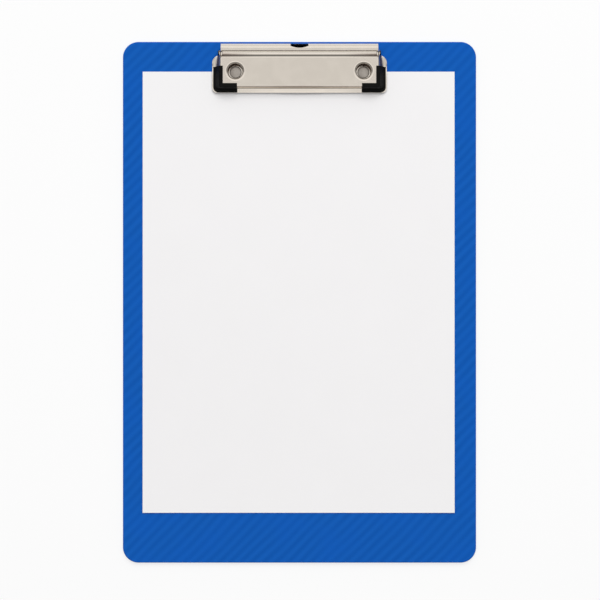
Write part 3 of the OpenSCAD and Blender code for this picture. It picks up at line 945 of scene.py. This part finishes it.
def make_jaw_half(bm):
    """The outer skin of the jaw's right half, without its panel."""
    corner_y = PANEL_FRONT_Y + PANEL_CORNER_R
    section = jaw_profile(bm, corner_y)
    side_places = [corner_y, *SIDE_ROWS_Y, SWEEP_FROM_Y]
    side_places += [SWEEP_FROM_Y + (STEP_Y - SWEEP_FROM_Y) * i / 9 for i in range(1, 10)]
    side_end = draw_through(bm, section, (0, 1, 0), side_places)
    low_end = [e for e in side_end if not all(v.co.z > PANEL_Z - TOP_OF_BEND for v in e.verts)]
    brim_places = [STEP_Y, STEP_Y + 0.6, STEP_Y + 1.2, BRIM_BACK_Y - 0.7, BRIM_BACK_Y - 0.3]
    low_end = draw_through(bm, low_end, (0, 1, 0), brim_places)
    draw_ear(bm, low_end, brim_places[-1])
    pivot = (PANEL_HALF - PANEL_CORNER_R, corner_y, 0)
    section = edges_at(bm, lambda p: abs(p.y - corner_y) < 1e-4)
    front = spin_edges(bm, section, pivot, (0, 0, 1), -math.pi / 2, 10)
    front_places = [pivot[0], *FRONT_ROWS_X, LIFT_HALF + 1.5, LIFT_HALF]
    front_places += [LIFT_HALF * (1 - i / 12) for i in range(1, 13)]
    draw_through(bm, front, (1, 0, 0), front_places)
    bmesh.ops.remove_doubles(bm, verts=bm.verts, dist=0.0005)
    settle_jaw(bm)
    droop_brim(bm)
    lift_brim(bm)


def edges_at(bm, test):
    """The boundary edges whose two ends pass a test."""
    return [e for e in bm.edges if e.is_boundary and all(test(v.co) for v in e.verts)]


def nearest_vert(bm, place):
    """The vertex nearest a place."""
    return min(bm.verts, key=lambda vert: (vert.co - Vector(place)).length)


def add_panel(bm):
    """Fills in the flat panel round its access hole, and adds the step and the roll behind it."""
    lap_x = PANEL_HALF - PANEL_LAP
    rim = bmesh.ops.create_circle(bm, segments=64, radius=HOLE_R + HOLE_RIM_R)["verts"]
    bmesh.ops.translate(bm, vec=(RIVET_X, RIVET_Y, PANEL_Z), verts=rim)
    rim_edges = list({edge for vert in rim for edge in vert.link_edges})
    inner = [
        e for e in edges_at(bm, lambda p: abs(p.z - PANEL_Z) < 1e-3 and p.x < lap_x + 0.01)
        if not all(abs(v.co.y - STEP_Y) < 1e-3 for v in e.verts)
        and not all(abs(v.co.x) < 1e-3 for v in e.verts)
    ]
    side_top = nearest_vert(bm, (lap_x, STEP_Y, PANEL_Z))
    front_middle = nearest_vert(bm, (0, PANEL_FRONT_Y + PANEL_LAP, PANEL_Z))
    back_row = [bm.verts.new((x, STEP_Y, PANEL_Z)) for x in (0, *ROLL_ROWS_X, ROLL_HALF)] + [side_top]
    back_edges = [bm.edges.new(pair) for pair in zip(back_row, back_row[1:])]
    middle_edge = bm.edges.new((front_middle, back_row[0]))
    boundary = inner + back_edges + [middle_edge] + rim_edges
    bmesh.ops.triangle_fill(bm, use_beauty=True, edges=boundary, normal=(0, 0, 1))
    ring = rim_edges
    turns = [math.radians(a) for a in (0, 15, 30, 45, 60, 75, 90)]
    for before, after in zip(turns, turns[1:]):
        ring = draw_out(bm, ring, (0, 0, HOLE_RIM_R * (math.cos(after) - math.cos(before))))
        size = (HOLE_R + HOLE_RIM_R * (1 - math.sin(after))) / (HOLE_R + HOLE_RIM_R * (1 - math.sin(before)))
        verts = list({v for e in ring for v in e.verts})
        centre = Vector((RIVET_X, RIVET_Y, 0))
        for vert in verts:
            vert.co.xy = centre.xy + (vert.co.xy - centre.xy) * size
    bend_low_z = PANEL_Z - TOP_OF_BEND
    bend_end = edges_at(bm, lambda p: abs(p.y - STEP_Y) < 1e-3 and p.x > lap_x - 0.01 and p.z > bend_low_z)
    step_middle = (0, STEP_Y, PANEL_Z + STEP_R)
    step_angle = ROLL_FRONT - math.pi / 2
    step_end = spin_edges(bm, back_edges + bend_end, step_middle, (1, 0, 0), step_angle, 10)
    roll_edges = [e for e in step_end if all(v.co.x < ROLL_HALF + 0.01 for v in e.verts)]
    spin_edges(bm, roll_edges, (0, HINGE_Y, HINGE_Z), (1, 0, 0), ROLL_BACK - ROLL_FRONT, 20)


def make_jaw_plate():
    """The sprung jaw: panel, rolled back, leaning walls, brim, rimmed holes, finger lift and ears."""
    bm = bmesh.new()
    make_jaw_half(bm)
    add_panel(bm)
    add_mirror_half(bm)
    bm = sheet_steel(bm, (0, STEP_Y - 8, PANEL_Z))
    bm = combined(bm, pin_bore(), "DIFFERENCE")
    bm = combined(bm, notch_tool(1.5), "DIFFERENCE")
    bm = soft_edges(bm, 0.2, 3)
    jaw = finished(bm, "jaw", "jaw", [NICKEL, SHADED_DULL_NICKEL], "jaw_plate")
    # Painted shade: each point gets how much the jaw's steel is darkened there
    painted_shade_values = [tarnish(vert.co / MM) for vert in jaw.data.vertices]
    jaw.data.attributes.new("tarnish", "FLOAT", "POINT").data.foreach_set("value", painted_shade_values)


def tarnish(place):
    """How much painted shade darkens the steel at a place: on the side walls behind the grips, at the
    ends of the valley in front of the roll, and along the front bend, most over the finger lift."""
    foot = side_reach(place.y)[1]
    if abs(place.x) - PANEL_HALF > foot - 0.2:
        return 0.0
    to_end = min(1, max(0, (abs(place.x) - VALLEY_UNSHADED_X) / (ROLL_HALF - VALLEY_UNSHADED_X)))
    in_valley = max(0, 1 - abs(place.y - VALLEY_SHADE_Y) / VALLEY_SHADE_W) if place.z > PANEL_Z - 0.1 else 0
    behind = min(1, max(0, (place.y - WALL_SHADE_FROM_Y) / WALL_SHADE_L))
    below = min(1, max(0, (PANEL_Z - 0.5 - place.z) / 0.8))
    in_bend = max(0, 1 - abs(place.y - BEND_SHADE_Y) / BEND_SHADE_W) if place.z > PANEL_Z - 1.6 else 0
    over_lift = max(0, 1 - (place.x / LIFT_HALF) ** 2)
    return max(behind * below, 0.95 * to_end * in_valley, (0.45 + 0.45 * over_lift) * in_bend)


# ================================================================ grips, rivets, pin and springs
def grip_profile(bm, y, rim):
    """The grip's section: out over the panel's edge, down the wall, over the brim, and back below it."""
    top = PANEL_Z + GRIP_T
    brim = BRIM_TOP_Z + GRIP_T
    foot = GRIP_LOW.z
    under = JAW_LOW.z + 0.1
    inside = BRIM_TOP_Z - 0.1
    outer = [
        (-GRIP_SIDE_LAP, PANEL_Z - 0.1), (-GRIP_SIDE_LAP, top), (GRIP_T, top),
        (SIDE_FOOT_OUT + GRIP_T, brim), (rim, brim), (rim, foot),
        (rim - GRIP_FOOT_W, foot), (rim - GRIP_FOOT_W, under),
    ]
    inner = [(rim - 0.5, under), (rim - 0.5, inside), (SIDE_FOOT_OUT, inside), (-0.1, PANEL_Z - 0.1)]
    verts = chain(bm, [(PANEL_HALF + out, y, z) for out, z in outer + inner])
    bm.edges.new((verts[-1], verts[0]))
    for vert, cut in zip(verts[1:6], GRIP_EDGE_CUTS):
        round_off(bm, vert, cut, 4)
    return bm.edges[:]


def make_grips():
    """The rubber over each front corner of the jaw."""
    core = Vector((PANEL_HALF - GRIP_SIDE_LAP, PANEL_FRONT_Y + GRIP_FRONT_LAP))
    rim = GRIP_HIGH.x - PANEL_HALF
    front_rim = PANEL_FRONT_Y - GRIP_LOW.y
    beside = [0] + [GRIP_SIDE_LAP + reach for reach in (GRIP_T, SIDE_FOOT_OUT + GRIP_T, rim)]
    ahead = [0] + [GRIP_FRONT_LAP + reach for reach in (GRIP_T, FRONT_FOOT_OUT + GRIP_T, front_rim)]
    for side, hand in HANDS:
        bm = bmesh.new()
        section = grip_profile(bm, core.y, rim)
        back = draw_through(bm, section, (0, 1, 0), (core.y, *GRIP_ROWS_Y, GRIP_BACK_Y))
        bmesh.ops.contextual_create(bm, geom=back)
        section = edges_at(bm, lambda p: abs(p.y - core.y) < 1e-4)
        front = spin_edges(bm, section, (*core, 0), (0, 0, 1), -math.pi / 2, 12)
        front = draw_through(bm, front, (1, 0, 0), (core.x, GRIP_ROW_X, GRIP_INNER_X))
        bmesh.ops.contextual_create(bm, geom=front)
        bmesh.ops.remove_doubles(bm, verts=bm.verts, dist=0.0005)
        settle(bm, core, beside, lambda y: beside, ahead, GRIP_CORNER_RADII)
        bmesh.ops.recalc_face_normals(bm, faces=bm.faces)
        if side < 0:
            bm = mirrored(bm)
        finished(bm, f"rubber_corner_{hand}", "jaw", [RUBBER], f"corner_grip_{hand}")


def make_rivets():
    """Nickel rivets, painted darker for shade: domed head with a dimple, and a hollow end with a flange at
    the back.
    """
    head_r = (RIVET_HIGH.x - RIVET_LOW.x) / 2
    crown_h = 0.35
    dome_r = (head_r ** 2 + crown_h ** 2) / (2 * crown_h)
    seat = FACE_Z + STEEL_T
    crown = RIVET_HIGH.z
    rise = math.degrees(math.asin(head_r / dome_r))
    dome = arc((0, crown - dome_r), dome_r, 90 - rise, 86.2, 6)
    dimple_r = dome[-1][0]
    shank_r = 1.7
    flange_r = 3.8
    hollow_r = 1.1
    outline = [(0, crown - 0.30), (dimple_r * 0.5, crown - 0.26), (dimple_r * 0.8, crown - 0.14)]
    outline += reversed(dome)
    outline += [(head_r, seat - 0.01), (shank_r, seat - 0.01), (shank_r, RECESS_H)]
    outline += [(flange_r, RECESS_H), (flange_r, 0.35), (flange_r - 0.3, 0.1)]
    outline += [(hollow_r + 0.4, 0.1), (hollow_r, 0.4), (hollow_r, 1.6), (0, 1.6)]
    for side, hand in HANDS:
        bm = turned(outline, (side * RIVET_X, RIVET_Y, 0), "Z", 48)
        bm = soft_edges(bm, 0.2, 3, 50)
        finished(bm, f"rivet_head_{hand}", "back", [RIVET_NICKEL_SHADED], f"rivet_{hand}")


def make_pin():
    """The hinge pin with its peened ends."""
    reach = PIN_HIGH.x
    pin_r = 1.2
    head_r = 1.8
    half = [(pin_r, 0), (pin_r, reach - 0.7), (head_r, reach - 0.7), (head_r, reach - 0.35),
            (head_r - 0.35, reach - 0.06), (head_r - 0.8, reach), (0, reach)]
    outline = [(r, -x) for r, x in reversed(half)] + half[1:]
    bm = turned(outline, (0, HINGE_Y, HINGE_Z), "X", 32)
    finished(bm, "pin", "back", [BLACK_STEEL], "hinge_pin")


def spring_points():
    """The middle of the right spring's wire, from the leg on the floor to the leg under the roll."""
    sweep = LEG_DOWN - LEG_UP + 2 * math.pi * COIL_TURNS
    length = SPRING_HIGH.x - SPRING_LOW.x - 2 * WIRE_R
    middle = (SPRING_LOW.x + SPRING_HIGH.x) / 2
    steps = round(sweep / (2 * math.pi) * TURN_POINTS)
    coil = []
    for i in range(steps + 1):
        angle = LEG_DOWN - sweep * i / steps
        x = middle + length * (i / steps - 0.5)
        coil.append(Vector((x, HINGE_Y + COIL_R * math.cos(angle), HINGE_Z + COIL_R * math.sin(angle))))
    floor_leg = (HINGE_Z - FACE_Z - STEEL_T - WIRE_R + COIL_R * math.sin(LEG_DOWN)) / -math.cos(LEG_DOWN)
    down = Vector((0, -math.sin(LEG_DOWN), math.cos(LEG_DOWN)))
    up = Vector((0, math.sin(LEG_UP), -math.cos(LEG_UP)))
    return [coil[0] + down * floor_leg, *coil, coil[-1] + up * JAW_LEG]


def make_springs():
    """Two torsion springs on the pin, which twist as the jaw opens; here each is shaped once, at rest, on no
    body.
    """
    points = spring_points()
    for side, hand in HANDS:
        curve = bpy.data.curves.new("wire", "CURVE")
        curve.dimensions = "3D"
        curve.bevel_depth = WIRE_R
        curve.bevel_resolution = 3
        curve.use_fill_caps = True
        line = curve.splines.new("POLY")
        line.points.add(len(points) - 1)
        for knot, point in zip(line.points, points):
            knot.co = (*point, 1)
        wire = bpy.data.objects.new("wire", curve)
        bpy.context.scene.collection.objects.link(wire)
        mesh = bpy.data.meshes.new_from_object(wire)
        bm = bmesh.new()
        bm.from_mesh(mesh)
        bpy.data.meshes.remove(mesh)
        bpy.data.curves.remove(curve)
        bmesh.ops.remove_doubles(bm, verts=bm.verts, dist=0.001)
        bmesh.ops.recalc_face_normals(bm, faces=bm.faces)
        if side < 0:
            bm = mirrored(bm)
        spring = finished(bm, f"coil_{hand}", None, [BLACK_STEEL], f"spring_{hand}")
        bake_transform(spring)


make_board()
make_sheet()
make_base_plate()
make_jaw_plate()
make_grips()
make_rivets()
make_pin()
make_springs()

bpy.context.scene.view_settings.view_transform = "Standard"
